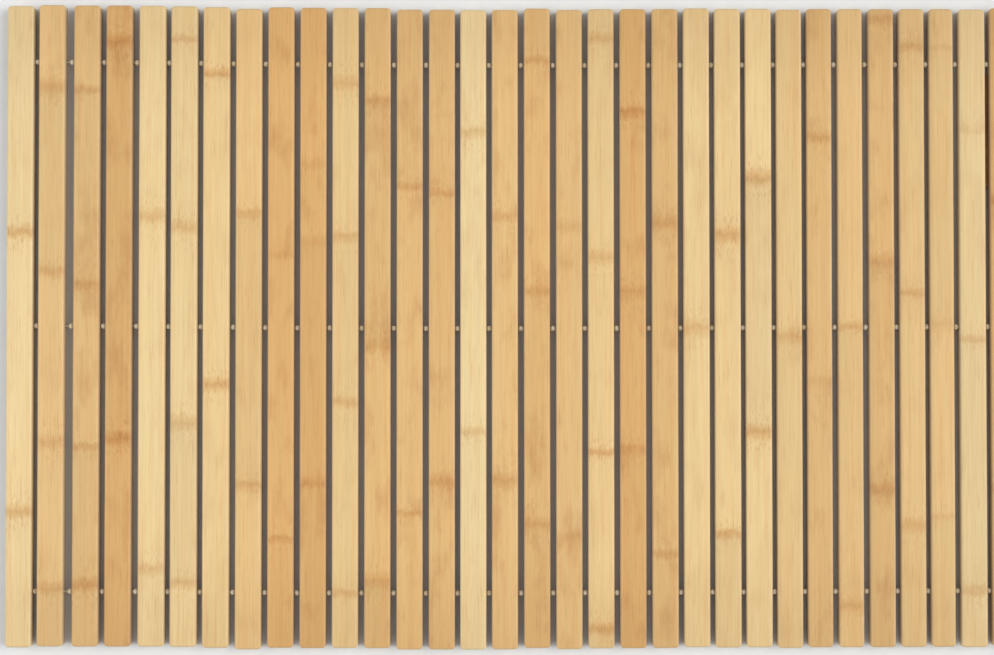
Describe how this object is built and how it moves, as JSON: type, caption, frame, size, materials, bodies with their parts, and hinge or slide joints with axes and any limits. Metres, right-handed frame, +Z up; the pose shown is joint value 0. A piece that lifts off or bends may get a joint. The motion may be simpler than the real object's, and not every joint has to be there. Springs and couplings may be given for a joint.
{
  "type": "bath mat",
  "caption": "Roll-up bamboo duckboard bath mat: rigid slats side by side, strung on strings with a round wooden bead spacing each gap",
  "frame": {"origin": "middle of the underside, where the mat lies on the floor", "axes": "+X across the slats, from slat_01 to slat_32; +Y along the slats; +Z up"},
  "size_m": [0.7894, 0.5026, 0.012],
  "materials": {
    "bamboo": "sanded bamboo with a thin satin lacquer",
    "bead_wood": "turned pale wood, unlacquered",
    "string": "twisted undyed cord",
    "label": "dark brown folded strip, matt"
  },
  "bodies": {
    "link_01": {"slat_01": "bamboo", "string_front": "string", "string_middle": "string", "string_back": "string", "knots_left": "string"},
    "link_02": {"slat_02": "bamboo", "beads_02": "bead_wood"},
    "link_03": {"slat_03": "bamboo"},
    "link_04": {"slat_04": "bamboo", "beads_04": "bead_wood"},
    "link_05": {"slat_05": "bamboo"},
    "link_06": {"slat_06": "bamboo", "beads_06": "bead_wood"},
    "link_07": {"slat_07": "bamboo"},
    "link_08": {"slat_08": "bamboo", "beads_08": "bead_wood"},
    "link_09": {"slat_09": "bamboo"},
    "link_10": {"slat_10": "bamboo", "beads_10": "bead_wood"},
    "link_11": {"slat_11": "bamboo"},
    "link_12": {"slat_12": "bamboo", "beads_12": "bead_wood"},
    "link_13": {"slat_13": "bamboo"},
    "link_14": {"slat_14": "bamboo", "beads_14": "bead_wood"},
    "link_15": {"slat_15": "bamboo"},
    "link_16": {"slat_16": "bamboo", "beads_16": "bead_wood"},
    "link_17": {"slat_17": "bamboo"},
    "link_18": {"slat_18": "bamboo", "beads_18": "bead_wood"},
    "link_19": {"slat_19": "bamboo"},
    "link_20": {"slat_20": "bamboo", "beads_20": "bead_wood"},
    "link_21": {"slat_21": "bamboo"},
    "link_22": {"slat_22": "bamboo", "beads_22": "bead_wood"},
    "link_23": {"slat_23": "bamboo"},
    "link_24": {"slat_24": "bamboo", "beads_24": "bead_wood"},
    "link_25": {"slat_25": "bamboo"},
    "link_26": {"slat_26": "bamboo", "beads_26": "bead_wood"},
    "link_27": {"slat_27": "bamboo"},
    "link_28": {"slat_28": "bamboo", "beads_28": "bead_wood"},
    "link_29": {"slat_29": "bamboo"},
    "link_30": {"slat_30": "bamboo", "beads_30": "bead_wood"},
    "link_31": {"slat_31": "bamboo"},
    "link_32": {"slat_32": "bamboo", "beads_32": "bead_wood", "knots_right": "string", "side_label": "label"}
  },
  "joints": [
    {"name": "fold_01", "type": "hinge", "parent": "link_01", "child": "link_02", "pos_m": [-0.37215, 0, 0.006], "axis": [0, -1, 0], "range_deg": [0, 21], "deforming": ["string_front", "string_middle", "string_back"]},
    {"name": "fold_02", "type": "hinge", "parent": "link_02", "child": "link_03", "pos_m": [-0.34515, 0, 0.006], "axis": [0, -1, 0], "range_deg": [0, 23]},
    {"name": "fold_03", "type": "hinge", "parent": "link_03", "child": "link_04", "pos_m": [-0.32005, 0, 0.006], "axis": [0, -1, 0], "range_deg": [0, 22]},
    {"name": "fold_04", "type": "hinge", "parent": "link_04", "child": "link_05", "pos_m": [-0.29435, 0, 0.006], "axis": [0, -1, 0], "range_deg": [0, 23]},
    {"name": "fold_05", "type": "hinge", "parent": "link_05", "child": "link_06", "pos_m": [-0.26925, 0, 0.006], "axis": [0, -1, 0], "range_deg": [0, 23]},
    {"name": "fold_06", "type": "hinge", "parent": "link_06", "child": "link_07", "pos_m": [-0.24425, 0, 0.006], "axis": [0, -1, 0], "range_deg": [0, 23]},
    {"name": "fold_07", "type": "hinge", "parent": "link_07", "child": "link_08", "pos_m": [-0.21885, 0, 0.006], "axis": [0, -1, 0], "range_deg": [0, 24]},
    {"name": "fold_08", "type": "hinge", "parent": "link_08", "child": "link_09", "pos_m": [-0.19375, 0, 0.006], "axis": [0, -1, 0], "range_deg": [0, 24]},
    {"name": "fold_09", "type": "hinge", "parent": "link_09", "child": "link_10", "pos_m": [-0.16865, 0, 0.006], "axis": [0, -1, 0], "range_deg": [0, 24]},
    {"name": "fold_10", "type": "hinge", "parent": "link_10", "child": "link_11", "pos_m": [-0.14355, 0, 0.006], "axis": [0, -1, 0], "range_deg": [0, 25]},
    {"name": "fold_11", "type": "hinge", "parent": "link_11", "child": "link_12", "pos_m": [-0.11845, 0, 0.006], "axis": [0, -1, 0], "range_deg": [0, 25]},
    {"name": "fold_12", "type": "hinge", "parent": "link_12", "child": "link_13", "pos_m": [-0.09335, 0, 0.006], "axis": [0, -1, 0], "range_deg": [0, 25]},
    {"name": "fold_13", "type": "hinge", "parent": "link_13", "child": "link_14", "pos_m": [-0.06825, 0, 0.006], "axis": [0, -1, 0], "range_deg": [0, 26]},
    {"name": "fold_14", "type": "hinge", "parent": "link_14", "child": "link_15", "pos_m": [-0.04355, 0, 0.006], "axis": [0, -1, 0], "range_deg": [0, 26]},
    {"name": "fold_15", "type": "hinge", "parent": "link_15", "child": "link_16", "pos_m": [-0.01895, 0, 0.006], "axis": [0, -1, 0], "range_deg": [0, 27]},
    {"name": "fold_16", "type": "hinge", "parent": "link_16", "child": "link_17", "pos_m": [0.00605, 0, 0.006], "axis": [0, -1, 0], "range_deg": [0, 27]},
    {"name": "fold_17", "type": "hinge", "parent": "link_17", "child": "link_18", "pos_m": [0.03115, 0, 0.006], "axis": [0, -1, 0], "range_deg": [0, 28]},
    {"name": "fold_18", "type": "hinge", "parent": "link_18", "child": "link_19", "pos_m": [0.05605, 0, 0.006], "axis": [0, -1, 0], "range_deg": [0, 28]},
    {"name": "fold_19", "type": "hinge", "parent": "link_19", "child": "link_20", "pos_m": [0.08105, 0, 0.006], "axis": [0, -1, 0], "range_deg": [0, 29]},
    {"name": "fold_20", "type": "hinge", "parent": "link_20", "child": "link_21", "pos_m": [0.10615, 0, 0.006], "axis": [0, -1, 0], "range_deg": [0, 30]},
    {"name": "fold_21", "type": "hinge", "parent": "link_21", "child": "link_22", "pos_m": [0.13095, 0, 0.006], "axis": [0, -1, 0], "range_deg": [0, 30]},
    {"name": "fold_22", "type": "hinge", "parent": "link_22", "child": "link_23", "pos_m": [0.1555, 0, 0.006], "axis": [0, -1, 0], "range_deg": [0, 31]},
    {"name": "fold_23", "type": "hinge", "parent": "link_23", "child": "link_24", "pos_m": [0.1798, 0, 0.006], "axis": [0, -1, 0], "range_deg": [0, 31]},
    {"name": "fold_24", "type": "hinge", "parent": "link_24", "child": "link_25", "pos_m": [0.20405, 0, 0.006], "axis": [0, -1, 0], "range_deg": [0, 32]},
    {"name": "fold_25", "type": "hinge", "parent": "link_25", "child": "link_26", "pos_m": [0.2279, 0, 0.006], "axis": [0, -1, 0], "range_deg": [0, 33]},
    {"name": "fold_26", "type": "hinge", "parent": "link_26", "child": "link_27", "pos_m": [0.25195, 0, 0.006], "axis": [0, -1, 0], "range_deg": [0, 34]},
    {"name": "fold_27", "type": "hinge", "parent": "link_27", "child": "link_28", "pos_m": [0.27635, 0, 0.006], "axis": [0, -1, 0], "range_deg": [0, 35]},
    {"name": "fold_28", "type": "hinge", "parent": "link_28", "child": "link_29", "pos_m": [0.3005, 0, 0.006], "axis": [0, -1, 0], "range_deg": [0, 36]},
    {"name": "fold_29", "type": "hinge", "parent": "link_29", "child": "link_30", "pos_m": [0.32435, 0, 0.006], "axis": [0, -1, 0], "range_deg": [0, 37]},
    {"name": "fold_30", "type": "hinge", "parent": "link_30", "child": "link_31", "pos_m": [0.34755, 0, 0.006], "axis": [0, -1, 0], "range_deg": [0, 39]},
    {"name": "fold_31", "type": "hinge", "parent": "link_31", "child": "link_32", "pos_m": [0.3722, 0, 0.006], "axis": [0, -1, 0], "range_deg": [0, 40]}
  ]
}
